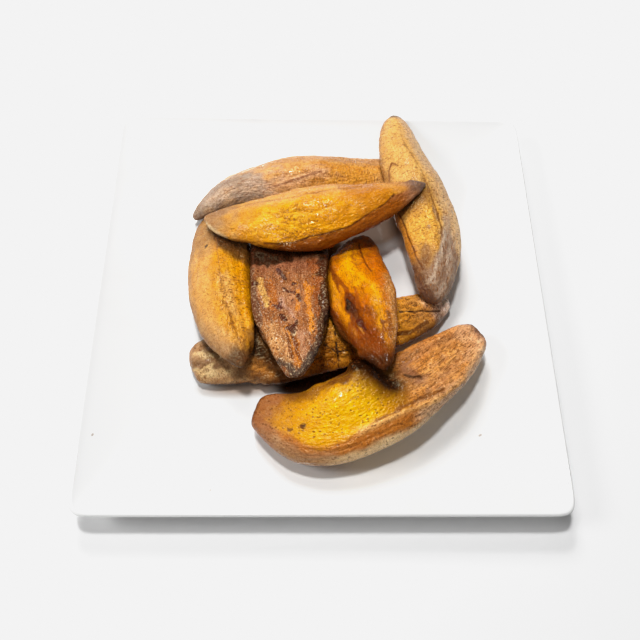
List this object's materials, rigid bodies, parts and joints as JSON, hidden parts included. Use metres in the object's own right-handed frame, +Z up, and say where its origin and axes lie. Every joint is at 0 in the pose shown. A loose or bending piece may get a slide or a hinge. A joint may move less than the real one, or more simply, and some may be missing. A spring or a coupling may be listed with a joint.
{
  "type": "fried plantain side",
  "caption": "Pile of fried ripe plantain halves, cut lengthwise and browned, on a square white coupe plate.",
  "frame": {"origin": "middle of the plate's footprint, on the surface that its foot ring stands on", "axes": "+Z up, +Y towards the back rim, where the tall half of the pile lies, and +X to the right"},
  "size_m": [0.27, 0.27, 0.0511],
  "materials": {
    "plate": "smooth white glaze",
    "bottom_half": "oily fried crust, olive gold to dark brown",
    "back_half": "oily fried crust, ochre with a mauve-brown film",
    "front_half": "oily cut face, golden yellow and browned orange",
    "left_half": "oily fried crust, orange gold",
    "middle_half": "oily cut face, mottled brown with orange streaks",
    "inner_half": "oily cut face, deep golden orange",
    "right_half": "oily fried crust, pale gold to mauve brown",
    "top_half": "oily fried crust, bright golden yellow"
  },
  "bodies": {
    "root": {"plate": "plate", "bottom_half": "bottom_half", "back_half": "back_half", "front_half": "front_half", "left_half": "left_half", "middle_half": "middle_half", "inner_half": "inner_half", "right_half": "right_half", "top_half": "top_half"}
  },
  "joints": []
}
